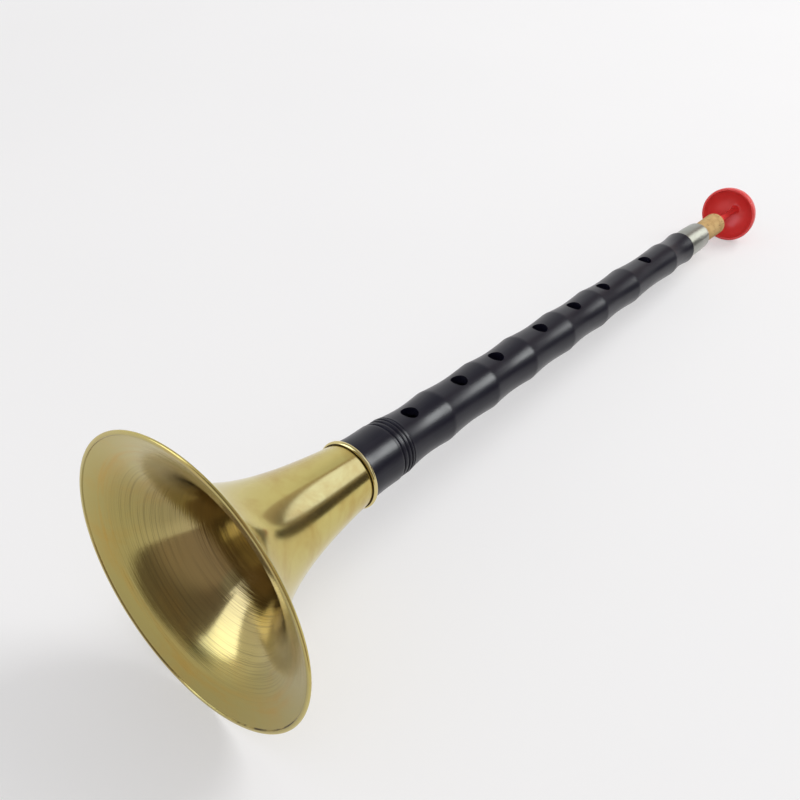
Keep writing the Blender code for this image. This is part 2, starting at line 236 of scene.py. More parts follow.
def spunBrassFinish():
    look = spunBrass
    made = Finish("spun brass")
    path = made.attribute("path")
    inside = made.attribute("zone")
    cloud = made.noise(made.place, look["cloudScale"], 4.0, 0.62, 0.5)
    rings = made.noise(made.ringed(path, look["stainRings"], 1.6), 1.0, 3.0, 0.6)
    fine = made.noise(made.ringed(path, look["fineGrooves"], 0.7), 1.0, 2.0)
    broad = made.noise(made.ringed(path, look["broadGrooves"], 0.45), 1.0, 2.0)
    stainRing = inside * made.radius.near(look["stainRadius"], look["stainReach"]) * rings.rise(0.42, 0.68)
    tarnish = cloud.rise(0.46, 0.72) * (0.40 + 0.5 * rings) + stainRing * 0.8
    # Painted shade deep in the throat, fading out towards the lip
    deep = inside * (1 - made.radius.rise(*look["throatShadeRadii"]))
    # The inside of the bell takes the darker brass, as painted shade
    colour = made.mixColour(inside, look["clean"], look["lip"])
    colour = made.mixColour(tarnish.least(1.0), colour, look["amber"])
    colour = made.mixColour(deep * 0.6, colour, look["throat"])
    scored = fine.rise(0.50, 0.66) * inside * (1 - made.radius.rise(*look["scoredRadii"]))
    colour = made.mixColour(scored * 0.25, colour, look["grimeAndShade"])
    # Painted shade and grime in the hem's fold seam, heavier on one side of the bell and broken up by noise
    broken = made.noise(made.place, 130.0, 3.0, 0.6).rise(0.40, 0.55)
    seamDarkSide = (0.45 - made.across / made.radius * 0.6 + made.height / made.radius * 0.15).rise(0.1, 0.75)
    seam = inside * made.radius.near(look["seamRadius"], look["seamWidth"]) * (0.15 + 0.85 * seamDarkSide * broken)
    # Painted shade on the last stretch of the bell's neck, where it meets the ring
    neckShade = (1 - inside) * made.station.rise(*look["neckShade"])
    grimeAndShadeLines = (seam + neckShade).least(1.0)
    colour = made.mixColour(grimeAndShadeLines, colour, look["grimeAndShade"])
    satin = look["outsideRoughness"] + inside * (look["insideRoughness"] - look["outsideRoughness"])
    roughness = satin + 0.10 * tarnish + 0.05 * rings * inside + 0.3 * grimeAndShadeLines
    made.set(Base_Color=colour, Metallic=1.0, Roughness=roughness)
    made.set(Coat_Weight=0.2, Coat_Roughness=0.10)
    depth = (0.55 * fine + 0.55 * broad) * (0.12 + 0.88 * inside)
    return made.bump(depth, look["grooveDepth"]).material


# Polished ring round the neck

ringBrass = dict(
    bright=(0.68, 0.57, 0.26),
    worn=(0.55, 0.43, 0.17),
    # Dark colour for the ring's edge against the bell: painted shade
    grimeAndShade=(0.05, 0.033, 0.016),
    roughness=0.13,
    wearScale=220.0,
    ringShadeStations=(74.32 * mm, 74.40 * mm),
    markDepth=0.006 * mm,
)


def ringBrassFinish():
    look = ringBrass
    made = Finish("bright brass")
    wear = made.noise(made.place, look["wearScale"], 3.0).rise(0.5, 0.75)
    # Painted shade along the ring's edge against the bell
    ringEdgeShade = 1 - made.station.rise(*look["ringShadeStations"])
    colour = made.mixColour(wear * 0.6, look["bright"], look["worn"])
    colour = made.mixColour(ringEdgeShade, colour, look["grimeAndShade"])
    made.set(Base_Color=colour, Metallic=1.0, Roughness=look["roughness"] + 0.12 * wear + 0.3 * ringEdgeShade)
    return made.bump(made.noise(made.stretched(900.0, 60.0), 1.0, 2.0), look["markDepth"]).material


# Black turned wood

blackWood = dict(
    dark=(0.0058, 0.0054, 0.0125),
    grain=(0.0105, 0.0100, 0.0180),
    dust=(0.05, 0.052, 0.055),
    roughness=0.265,
    specular=0.27,
    grainPitch=1.6 * mm,
    speckScale=900.0,
    turningScale=900.0,
    turningDepth=0.010 * mm,
)


def blackWoodFinish():
    look = blackWood
    made = Finish("satin black wood")
    fibre = made.noise(made.stretched(30.0, 1 / look["grainPitch"]), 1.0, 2.0, 0.5)
    bands = made.noise(made.stretched(9.0, 260.0), 1.0, 2.0).rise(0.35, 0.7)
    specks = made.noise(made.place, look["speckScale"], 1.0).rise(0.74, 0.80)
    colour = made.mixColour(bands * fibre.rise(0.4, 0.7), look["dark"], look["grain"])
    colour = made.mixColour(specks * 0.2, colour, look["dust"])
    polish = made.noise(made.place, 60.0, 3.0).rise(0.3, 0.75)
    roughness = look["roughness"] + 0.06 * polish + 0.04 * fibre
    made.set(Base_Color=colour, Roughness=roughness, Specular_IOR_Level=look["specular"])
    turning = made.noise(made.ringed(made.station, look["turningScale"], 0.8), 1.0, 2.0)
    return made.bump(fibre * 0.5 + turning * 0.5, look["turningDepth"]).material


# Nickel silver cap

nickelSilver = dict(
    pale=(0.34, 0.348, 0.31),
    dull=(0.28, 0.285, 0.25),
    roughness=0.30,
    turningScale=2600.0,
    turningDepth=0.0003 * mm,
)


def nickelSilverFinish():
    look = nickelSilver
    made = Finish("nickel silver")
    haze = made.noise(made.place, 130.0, 4.0, 0.6).rise(0.4, 0.75)
    turning = made.noiseLine(made.station, look["turningScale"], 3.0)
    spots = made.noise(made.place, 420.0, 2.0).rise(0.66, 0.74)
    colour = made.mixColour(haze * 0.5 + spots * 0.2, look["pale"], look["dull"])
    made.set(Base_Color=colour, Metallic=1.0, Roughness=look["roughness"] + 0.05 * haze)
    return made.bump(turning, look["turningDepth"]).material


# Cork, bare on the staple and greased on the tenon

corkLooks = dict(
    bare=dict(pale=(0.60, 0.40, 0.165), tan=(0.47, 0.285, 0.105), pit=(0.17, 0.085, 0.035), roughness=0.78),
    lining=dict(pale=(0.44, 0.29, 0.14), tan=(0.33, 0.20, 0.09), pit=(0.12, 0.06, 0.03), roughness=0.62),
    cellScale=1500.0,
    pitDepth=0.10 * mm,
)


def corkFinish(name, look):
    made = Finish(name)
    cells = made.node("ShaderNodeTexVoronoi", None, {"Vector": made.place, "Scale": corkLooks["cellScale"]})
    cell = made.wire(cells, 0)
    cloud = made.noise(made.place, 260.0, 4.0, 0.6)
    pits = made.noise(made.stretched(330.0, 620.0), 1.0, 2.0).rise(0.62, 0.70)
    colour = made.mixColour(cloud.rise(0.35, 0.7), look["pale"], look["tan"])
    colour = made.mixColour(pits * 0.5, colour, look["pit"])
    made.set(Base_Color=colour, Roughness=look["roughness"] + 0.12 * cell)
    return made.bump(cell * 0.4 + cloud * 0.6 - pits * 1.3, corkLooks["pitDepth"], 0.7).material


# Red moulded plastic

redPlastic = dict(
    red=(0.80, 0.062, 0.058),
    deep=(0.72, 0.046, 0.044),
    roughness=0.30,
    specular=0.55,
    waveScale=150.0,
    waveDepth=0.008 * mm,
)


def redPlasticFinish():
    look = redPlastic
    made = Finish("red plastic")
    flow = made.noise(made.place, 45.0, 3.0, 0.5, 0.8).rise(0.35, 0.7)
    rub = made.noise(made.stretched(500.0, 90.0), 1.0, 3.0).rise(0.45, 0.75)
    colour = made.mixColour(flow * 0.5, look["red"], look["deep"])
    roughness = look["roughness"] + 0.04 * rub
    made.set(Base_Color=colour, Roughness=roughness, Specular_IOR_Level=look["specular"])
    return made.bump(made.noise(made.place, look["waveScale"], 2.0), look["waveDepth"]).material


# Drawn brass tube, cane and copper wire

smallLooks = dict(
    tube=dict(pale=(0.64, 0.50, 0.22), dull=(0.42, 0.30, 0.12), roughness=0.24),
    cane=dict(pale=(0.66, 0.49, 0.23), dark=(0.40, 0.24, 0.085), stain=(0.22, 0.11, 0.04), roughness=0.50),
    stainedRoot=(454 * mm, 458 * mm),  # stained up to the first, not at all from the second
    copper=dict(pale=(0.74, 0.36, 0.22), dull=(0.40, 0.17, 0.10), roughness=0.24),
    drawnDepth=0.003 * mm,
    fibreDepth=0.02 * mm,
)


def drawnMetalFinish(name, look):
    made = Finish(name)
    dull = made.noise(made.place, 500.0, 3.0).rise(0.45, 0.75)
    drawn = made.noise(made.stretched(40.0, 3200.0), 1.0, 2.0)
    colour = made.mixColour(dull * 0.7, look["pale"], look["dull"])
    made.set(Base_Color=colour, Metallic=1.0, Roughness=look["roughness"] + 0.14 * dull)
    return made.bump(drawn, smallLooks["drawnDepth"]).material


def caneFinish():
    look = smallLooks["cane"]
    made = Finish("cane")
    fibre = made.noise(made.stretched(60.0, 3000.0), 1.0, 3.0, 0.6)
    cloud = made.noise(made.place, 320.0, 3.0)
    root = 1 - made.station.rise(*smallLooks["stainedRoot"])
    colour = made.mixColour(fibre.rise(0.35, 0.7), look["pale"], look["dark"])
    colour = made.mixColour(root * 0.5 + cloud.rise(0.55, 0.8) * 0.3, colour, look["stain"])
    made.set(Base_Color=colour, Roughness=look["roughness"] + 0.12 * fibre)
    return made.bump(fibre, smallLooks["fibreDepth"]).material


print("suona: finishes")
finishes = dict(
    bell=spunBrassFinish(),
    neck_ring=ringBrassFinish(),
    body_tube=blackWoodFinish(),
    bell_cork=corkFinish("cork lining", corkLooks["lining"]),
    top_ferrule=nickelSilverFinish(),
    staple_cork=corkFinish("bare cork", corkLooks["bare"]),
    staple=redPlasticFinish(),
    tip_tube=drawnMetalFinish("tube brass", smallLooks["tube"]),
    reed=caneFinish(),
    reed_binding=drawnMetalFinish("copper wire", smallLooks["copper"]),
)


# The lathe: a node tree that turns a closed profile round the pipe's line.
# The profile is a mesh of loose points (radius, station) in order, with the attributes path and zone.

latheSettings = dict(roundSides=224, smallSides=96, tubeSides=48, weld=0.0005 * mm)


def openTree(name, sockets):
    # A geometry group with a mesh and these values going in, and a mesh coming out
    tree = bpy.data.node_groups.new(name, "GeometryNodeTree")
    face = tree.interface
    face.new_socket(name="Geometry", in_out="INPUT", socket_type="NodeSocketGeometry")
    for socket, kind in sockets.items():
        face.new_socket(name=socket, in_out="INPUT", socket_type="NodeSocket" + kind)
    face.new_socket(name="Geometry", in_out="OUTPUT", socket_type="NodeSocketGeometry")
    return tree


def closeTree(board, shape, steps):
    # The last nodes in a row, and then the group's output
    for kind, values in steps:
        shape = board.wire(board.node("GeometryNode" + kind, None, {"Geometry": shape, **values}))
    board.node("NodeGroupOutput", None, [shape])


def latheTree():
    sockets = dict(Sides="Int", Rows="Int", Tilt="Float", Weld="Float", Start="Vector", Finish="Material")
    tree = openTree("lathe", sockets)
    board = Board(tree)
    given = board.node("NodeGroupInput")
    profile, sides, rows, tilt, weld, start, finish = [board.wire(given, i) for i in range(7)]
    grid = board.node("GeometryNodeMeshGrid", None, {0: 1.0, 1: 1.0, 2: sides + 1, 3: rows + 1})
    column, row = board.split(board.wire(board.node("GeometryNodeInputPosition")))[:2]
    turn = (column + 0.5) * (2 * math.pi)
    step = ((row + 0.5) * rows + 0.5).floor()
    index = step.math("MODULO", rows)

    def sampled(kind, value):
        settings = dict(data_type=kind, domain="POINT")
        return board.wire(board.node("GeometryNodeSampleIndex", settings, [profile, value, index]))

    def named(name):
        settings = dict(data_type="FLOAT")
        return board.wire(board.node("GeometryNodeInputNamedAttribute", settings, {"Name": name}))

    position = board.wire(board.node("GeometryNodeInputPosition"))
    radius, station = board.split(sampled("FLOAT_VECTOR", position))[:2]
    up = radius * turn.math("COSINE")
    side = radius * turn.math("SINE")
    startX, startY, startZ = board.split(start)
    dip, level = tilt.math("SINE"), tilt.math("COSINE")
    place = board.join(
        startX + station * level + up * dip,
        startY + side,
        startZ - station * dip + up * level,
    )
    shape = board.wire(grid)
    for name in ("path", "zone"):
        settings = dict(data_type="FLOAT", domain="POINT")
        values = {"Geometry": shape, "Name": name, "Value": sampled("FLOAT", named(name))}
        shape = board.wire(board.node("GeometryNodeStoreNamedAttribute", settings, values))
    steps = (
        ("SetPosition", {"Position": place}),
        ("MergeByDistance", {"Distance": weld}),
        ("RealizeInstances", {}),
        ("SetMaterial", {"Material": finish}),
    )
    closeTree(board, shape, steps)
    return tree


lathe = latheTree()


def placed(name, data):
    obj = bpy.data.objects.new(name, data)
    scene.collection.objects.link(obj)
    return obj


def meshOf(bm, name):
    mesh = bpy.data.meshes.new(name)
    bm.to_mesh(mesh)
    bm.free()
    return mesh


def evaluatedMesh(obj):
    bpy.context.view_layer.update()
    graph = bpy.context.evaluated_depsgraph_get()
    return bpy.data.meshes.new_from_object(obj.evaluated_get(graph))


def modified(obj, tree, inputs):
    # Runs a node tree on an object, which keeps the result as its plain mesh
    modifier = obj.modifiers.new("nodes", "NODES")
    modifier.node_group = tree
    for item in tree.interface.items_tree:
        if item.in_out == "INPUT" and item.name in inputs:
            modifier[item.identifier] = inputs[item.name]
    mesh = evaluatedMesh(obj)
    obj.modifiers.remove(modifier)
    obj.data = mesh
    return mesh


def faceOutwards(mesh):
    bm = bmesh.new()
    bm.from_mesh(mesh)
    if bm.calc_volume(signed=True) < 0:
        bmesh.ops.reverse_faces(bm, faces=bm.faces)
    bm.to_mesh(mesh)
    bm.free()


def shaded(obj, angle=38):
    obj.data.shade_smooth()
    obj.data.set_sharp_from_angle(angle=math.radians(angle))
    return obj


def turned(name, outline, node, sides=latheSettings["smallSides"]):
    # outline: closed list of (radius, station, zone)
    mesh = bpy.data.meshes.new(name)
    mesh.from_pydata([(radius, station, 0.0) for radius, station, zone in outline], [], [])
    path = mesh.attributes.new("path", "FLOAT", "POINT")
    zones = mesh.attributes.new("zone", "FLOAT", "POINT")
    travelled = 0.0
    for i, (radius, station, zone) in enumerate(outline):
        if i:
            travelled += math.dist((radius, station), outline[i - 1][:2])
        path.data[i].value = travelled
        zones.data[i].value = zone
    obj = placed(name, mesh)
    inputs = {"Sides": sides, "Rows": len(outline), "Tilt": pipeTilt, "Weld": latheSettings["weld"]}
    inputs.update({"Start": pipeStart, "Finish": finishes[node]})
    modified(obj, lathe, inputs)
    faceOutwards(obj.data)
    return shaded(obj)


def arc(centreRadius, centreStation, size, startAngle, endAngle, steps):
    # Angles in degrees from straight outwards, towards the reed
    points = []
    for i in range(steps + 1):
        angle = math.radians(startAngle + (endAngle - startAngle) * i / steps)
        radius = centreRadius + size * math.cos(angle)
        points.append((radius, centreStation + size * math.sin(angle)))
    return points


def spread(start, end, steps):
    # Points on a straight line, without its end
    return [tuple(a + (b - a) * i / steps for a, b in zip(start, end)) for i in range(steps)]


def zoned(points, zone=0.0):
    return [(radius, station, zone) for radius, station in points]


def install(obj, node, body):
    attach(obj, body)
    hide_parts(node)


# Bell: the horn curve from the neck to the lip, with a folded hem

bellShape = dict(
    rimRadius=53.87 * mm,
    length=74.2 * mm,
    flare=0.70,
    reach=10.8 * mm,
    wall=0.6 * mm,
    hemWidth=1.55 * mm,
    hemThickness=1.0 * mm,
    foldInset=0.25 * mm,
    foldRound=0.2 * mm,
    seamInset=0.08 * mm,
    seamDepth=0.40 * mm,
    steps=110,
)


def hornStation(radius):
    look = bellShape
    growth = (look["rimRadius"] / radius) ** (1 / look["flare"])
    return look["reach"] * (growth - 1) + look["hemThickness"] / 2


def hornRadius(station):
    look = bellShape
    pastHem = station - look["hemThickness"] / 2
    return look["rimRadius"] * (look["reach"] / (pastHem + look["reach"])) ** look["flare"]


def hornPoint(radius, depth):
    # A point at this depth under the horn's outer face, along its normal
    look = bellShape
    station = hornStation(radius)
    slope = -look["flare"] * radius / (station - look["hemThickness"] / 2 + look["reach"])
    tilt = math.hypot(1.0, slope)
    return radius - depth / tilt, station + depth * slope / tilt


def bellOutline():
    look = bellShape
    neck = hornRadius(look["length"])
    hemRoot = look["rimRadius"] - look["hemWidth"]
    growth = hemRoot / neck
    radii = [neck * growth ** (i / look["steps"]) for i in range(look["steps"] + 1)]
    outside = [hornPoint(radius, 0.0) for radius in radii]
    inside = [hornPoint(radius, look["wall"]) for radius in reversed(radii)]
    inside[-1] = (neck - look["wall"], look["length"])
    roll = look["hemThickness"] / 2
    hem = arc(look["rimRadius"] - roll, roll, roll, 84, -90, 12)
    foldEdge = arc(hemRoot + look["foldInset"], look["foldRound"], look["foldRound"], -90, -165, 5)
    seam = (hemRoot - look["seamInset"], look["seamDepth"])
    points = zoned(outside, 0.0) + zoned(hem, 0.35) + zoned(foldEdge, 1.0)
    return points + zoned([seam], 1.0) + zoned(inside[1:], 1.0)


def makeBell():
    bell = turned("spunBell", bellOutline(), "bell", latheSettings["roundSides"])
    install(bell, "bell", "bell")


makeBell()
print("suona: bell turned")


# Ring round the bell's neck

ringShape = dict(start=74.3 * mm, width=2.0 * mm, proud=1.1 * mm, bore=11.865 * mm, steps=24)


def makeRing():
    look = ringShape
    neck = hornRadius(bellShape["length"])
    middle = look["start"] + look["width"] / 2
    bead = []
    for i in range(look["steps"] + 1):
        angle = math.radians(90 - 180 * i / look["steps"])
        swell = look["proud"] * math.cos(angle) ** 0.8 if i not in (0, look["steps"]) else 0.0
        bead.append((neck + swell, middle + look["width"] / 2 * math.sin(angle)))
    outline = bead + [(look["bore"], look["start"]), (look["bore"], look["start"] + look["width"])]
    ring = turned("neckBead", zoned(outline), "neck_ring", latheSettings["roundSides"])
    install(ring, "neck_ring", "bell")


makeRing()


# Pipe: tenon, foot, three beads, eight hollow joints and the spigot under the cap

pipeShape = dict(
    tenonEnd=47.6 * mm,
    tenonRadius=11.565 * mm,
    liningStart=57.6 * mm,
    liningThickness=1.0 * mm,
    gap=0.3 * mm,
    chamfer=0.3 * mm,
    shoulder=76.6 * mm,
    shoulderRadius=12.415 * mm,
    shoulderCorner=0.35 * mm,
    footEnd=93.2 * mm,
    footWaist=0.45 * mm,
    footSteps=20,
    edgeRound=0.25 * mm,
    beads=((1.0, 1.7), (0.8, 1.3), (0.6, 1.0)),  # each groove's and bead's width, in mm
    beadSink=0.22 * mm,
    beadLift=0.02 * mm,
    beadSteps=10,
    lastGroove=0.6 * mm,
    grooveDepth=0.65 * mm,
    firstStep=0.4 * mm,
    jointLengths=(26.0, 31.5, 30.5, 33.8, 33.1, 35.1, 46.5, 22.6),  # in mm
    crestLow=11.4 * mm,
    crestTop=9.2 * mm,
    waistLow=10.55 * mm,
    waistTop=8.25 * mm,
    hollow=1.75,
    crestSoftness=0.55 * mm,
    step=0.9 * mm,
    fineStep=0.252 * mm,
    fineReach=2.2 * mm,  # either side of a crest
    landRound=0.7 * mm,
    landStart=0.2 * mm,
    ledge=0.75 * mm,
    capStart=361.5 * mm,
    capEnd=386.4 * mm,
    capCorner=2.4 * mm,
    spigotRadius=7.15 * mm,
    socketMouth=6.43 * mm,
    socketFloor=374.6 * mm,
    socketRadius=5.9 * mm,
    boreLow=8.0 * mm,
    boreTop=3.5 * mm,
    boreSteps=60,
    holeSetbacks=(16.3, 15.4, 19.0, 16.9, 19.1, 25.0, 24.8),  # below each joint's crest, in mm
    thumbJoint=6,
    thumbSetback=39.0,
    holeRadius=3.6 * mm,
    holeSides=64,
    drillLength=20 * mm,
)


def jointsStart():
    look = pipeShape
    widths = sum(groove + bead for groove, bead in look["beads"]) * mm
    return look["footEnd"] + widths + look["lastGroove"]


def crestStations():
    stations = [jointsStart()]
    for length in pipeShape["jointLengths"]:
        stations.append(stations[-1] + length * mm)
    return stations[1:]


def between(low, high, station, crests):
    share = (station - crests[0]) / (crests[-1] - crests[0])
    return low + (high - low) * share


def footRadius(station):
    look = pipeShape
    share = (station - look["shoulder"]) / (look["footEnd"] - look["shoulder"])
    waist = look["shoulderRadius"] - look["footWaist"]
    tilt = look["shoulderRadius"] + (waist + 0.3 * look["footWaist"] - look["shoulderRadius"]) * share
    return tilt - 0.4 * look["footWaist"] * math.sin(math.pi * share) ** 2


def jointRadius(station, crests, start, startRadius):
    # The hollow between two crests
    look = pipeShape
    ends = [start] + crests
    for low, high in zip(ends, ends[1:]):
        if station <= high or high == crests[-1]:
            middle = (low + high) / 2
            waist = between(look["waistLow"], look["waistTop"], middle, crests)
            side = low if station < middle else high
            top = between(look["crestLow"], look["crestTop"], side, crests)
            if side == start:
                top = startRadius
            reach = min(1.0, abs(station - middle) / (middle - low))
            return waist + (top - waist) * reach ** look["hollow"]


def tenonOutline():
    look = pipeShape
    recess = look["tenonRadius"] - look["liningThickness"] - look["gap"]
    liningEdge = look["liningStart"] - look["gap"]
    return [
        (look["tenonRadius"] - look["chamfer"], look["tenonEnd"]),
        (look["tenonRadius"], look["tenonEnd"] + look["chamfer"]),
        (look["tenonRadius"], liningEdge),
        (recess, liningEdge),
        (recess, look["shoulder"]),
    ]


def footOutline():
    look = pipeShape
    corner = look["shoulderCorner"]
    start = look["shoulder"] + corner
    end = look["footEnd"] - look["edgeRound"]
    points = arc(look["shoulderRadius"] - corner, start, corner, -90, 0, 6)
    for i in range(1, look["footSteps"] + 1):
        station = start + (end - start) * i / look["footSteps"]
        points.append((footRadius(station), station))
    return points + arc(footRadius(look["footEnd"]) - look["edgeRound"], end, look["edgeRound"], 30, 90, 3)


def beadOutline():
    # The grooves and beads between the foot and the first joint
    look = pipeShape
    floor = footRadius(look["footEnd"]) - look["grooveDepth"]
    station = look["footEnd"]
    points = []
    for groove, bead in look["beads"]:
        points.append((floor, station + groove * mm * 0.3))
        points.append((floor, station + groove * mm * 0.7))
        station += groove * mm
        half = bead * mm / 2
        for i in range(look["beadSteps"] + 1):
            angle = math.pi * (i / look["beadSteps"] - 0.5)
            bulge = math.cos(angle) ** 0.6 if 0 < i < look["beadSteps"] else 0.0
            radius = floor + look["beadLift"] + (look["grooveDepth"] - look["beadSink"]) * bulge
            points.append((radius, station + half + half * math.sin(angle)))
        station += bead * mm
    return points + [(floor, station + look["lastGroove"] * 0.35)]


def jointsOutline():
    # The eight joints, with each crest softened by a weighted mean of its neighbourhood
    look = pipeShape
    crests = crestStations()
    start = jointsStart()
    startRadius = footRadius(look["footEnd"]) - look["firstStep"]
    edge = look["edgeRound"]
    soft = look["crestSoftness"]
    weights = (1, 2, 3, 2, 1)
    points = arc(startRadius - edge, start + edge, edge, -80, 0, 4)
    station = start + 2 * edge
    while station < crests[-1]:
        samples = [jointRadius(station + soft * k, crests, start, startRadius) for k in (-2, -1, 0, 1, 2)]
        points.append((sum(r * w for r, w in zip(samples, weights)) / sum(weights), station))
        nearest = min(abs(station - crest) for crest in crests)
        station += look["fineStep"] if nearest < look["fineReach"] else look["step"]
    return points


def spigotOutline():
    look = pipeShape
    land = look["landRound"]
    under = look["capStart"] - look["gap"]
    top = look["capEnd"] - look["capCorner"]
    return arc(look["crestTop"] - land, crestStations()[-1] + look["landStart"], land, 0, 62, 6) + [
        (look["spigotRadius"] + look["ledge"], under),
        (look["spigotRadius"], under),
        (look["spigotRadius"], top - look["chamfer"]),
        (look["spigotRadius"] - look["chamfer"], top),
        (look["socketMouth"], top),
        (look["socketRadius"], look["socketFloor"]),
        (look["boreTop"], look["socketFloor"]),
    ]


def pipeOutline():
    look = pipeShape
    outside = tenonOutline() + footOutline() + beadOutline() + jointsOutline() + spigotOutline()
    low = (look["boreLow"], look["tenonEnd"])
    bore = spread((look["boreTop"], look["socketFloor"]), low, look["boreSteps"])
    return zoned(outside) + zoned(bore[1:] + [low], 1.0)


def drill(name, station, side):
    # A round cutter across the wall, up for the finger holes and down for the thumb hole
    look = pipeShape
    bm = bmesh.new()
    depth = look["drillLength"]
    bmesh.ops.create_cone(
        bm,
        cap_ends=True,
        segments=look["holeSides"],
        radius1=look["holeRadius"],
        radius2=look["holeRadius"],
        depth=depth,
    )
    place = Matrix.Translation((station, 0.0, side * depth / 2))
    bmesh.ops.transform(bm, matrix=pipeFrame @ place, verts=bm.verts)
    return placed(name, meshOf(bm, name))


def makePipe():
    look = pipeShape
    crests = crestStations()
    pipe = turned("turnedPipe", pipeOutline(), "body_tube")
    places = [(crests[i] - setback * mm, 1) for i, setback in enumerate(look["holeSetbacks"])]
    places.append((crests[look["thumbJoint"]] - look["thumbSetback"] * mm, -1))
    drills = []
    for i, (station, side) in enumerate(places):
        drills.append(drill("drill%d" % i, station, side))
        cut = pipe.modifiers.new("hole", "BOOLEAN")
        cut.operation = "DIFFERENCE"
        cut.object = drills[-1]
    mesh = evaluatedMesh(pipe)
    pipe.modifiers.clear()
    pipe.data = mesh
    mesh.materials.clear()
    mesh.materials.append(finishes["body_tube"])
    for obj in drills:
        bpy.data.objects.remove(obj)
    shaded(pipe, angle=32)
    install(pipe, "body_tube", "pipe")


makePipe()
print("suona: pipe turned and drilled")


# Cork lining on the tenon, and the cap on the top end

capShape = dict(wall=0.45 * mm, belly=0.3 * mm, edge=0.1 * mm, corkHole=6.5 * mm, steps=24)


def sleeve(start, end, radius, hole, corner):
    far = arc(radius - corner, end - corner, corner, 90, 0, 4)
    near = arc(radius - corner, start + corner, corner, 0, -90, 4)
    return far + near + [(hole, start), (hole, end)]


def makeLining():
    look = pipeShape
    hole = look["tenonRadius"] - look["liningThickness"]
    end = look["shoulder"] - 2 * look["gap"]
    outline = sleeve(look["liningStart"], end, look["tenonRadius"], hole, look["edgeRound"])
    lining = turned("tenonCork", zoned(outline), "bell_cork")
    install(lining, "bell_cork", "pipe")


def makeCap():
    look = pipeShape
    cap = capShape
    inner = look["spigotRadius"] + look["gap"]
    outer = inner + cap["wall"]
    corner = look["capCorner"]
    centre = (outer - corner, look["capEnd"] - corner)
    innerCorner = corner - cap["wall"]
    outerLip = math.degrees(math.acos((cap["corkHole"] - centre[0]) / corner))
    innerLip = math.degrees(math.acos((cap["corkHole"] - centre[0]) / innerCorner))
    points = arc(*centre, corner, outerLip, 0, 12)
    start = look["capStart"]
    for i in range(1, cap["steps"]):
        share = i / cap["steps"]
        station = centre[1] + (start - centre[1]) * share
        points.append((outer + cap["belly"] * math.sin(math.pi * share), station))
    points += [(outer, start + cap["edge"]), (outer - cap["edge"], start), (inner, start)]
    points += arc(*centre, innerCorner, 0, innerLip, 8)
    made = turned("topCap", zoned(points), "top_ferrule")
    install(made, "top_ferrule", "pipe")


makeLining()
makeCap()


# Staple: cork, stem with its lip bowl, and the tip tube

stapleShape = dict(
    corkOut=6.5 * mm,
    corkMouth=6.2 * mm,
    corkIn=5.6 * mm,
    corkEnd=411.7 * mm,
    corkStart=374.9 * mm,
    corkCorner=0.55 * mm,
    corkChamfer=0.4 * mm,
    shankRadius=2.4 * mm,
    shankEnd=365.9 * mm,
    shankChamfer=(0.4 * mm, 0.5 * mm),  # across and along
    collar=0.6 * mm,  # the shank's end beyond the cork
    stemFoot=1.6 * mm,
    stemRadius=1.9 * mm,
    bowlRim=432.5 * mm,
    bowlRadius=16.68 * mm,
    bowlDepth=14.5 * mm,
    bowlWall=1.5 * mm,
    rootRound=1.4 * mm,
    nippleRadius=2.9 * mm,
    nippleFoot=0.4 * mm,
    nippleRound=0.35 * mm,
    nippleEnd=450.7 * mm,
    tubeStart=441.7 * mm,
    tubeEnd=456.7 * mm,
    tubeRadius=1.5 * mm,
    tubeWall=0.35 * mm,
    tubeEdge=0.12 * mm,
    boreLow=1.6 * mm,
    boreTop=1.0 * mm,
    domeSteps=40,
)


def makeStapleCork():
    look = stapleShape
    start = look["corkStart"]
    end = look["corkEnd"]
    corner = look["corkCorner"]
    chamfer = look["corkChamfer"]
    inner = look["corkIn"]
    mouth = (look["corkMouth"], pipeShape["capEnd"])
    hole = look["shankRadius"] + pipeShape["gap"]
    points = arc(look["corkOut"] - corner, end - corner, corner, 90, 0, 6)
    points += spread(points[-1], mouth, 8)[1:] + [mouth]
    points += [(inner, start + chamfer), (inner - chamfer, start), (hole, start), (hole, end)]
    cork = turned("seatCork", zoned(points), "staple_cork")
    install(cork, "staple_cork", "staple")


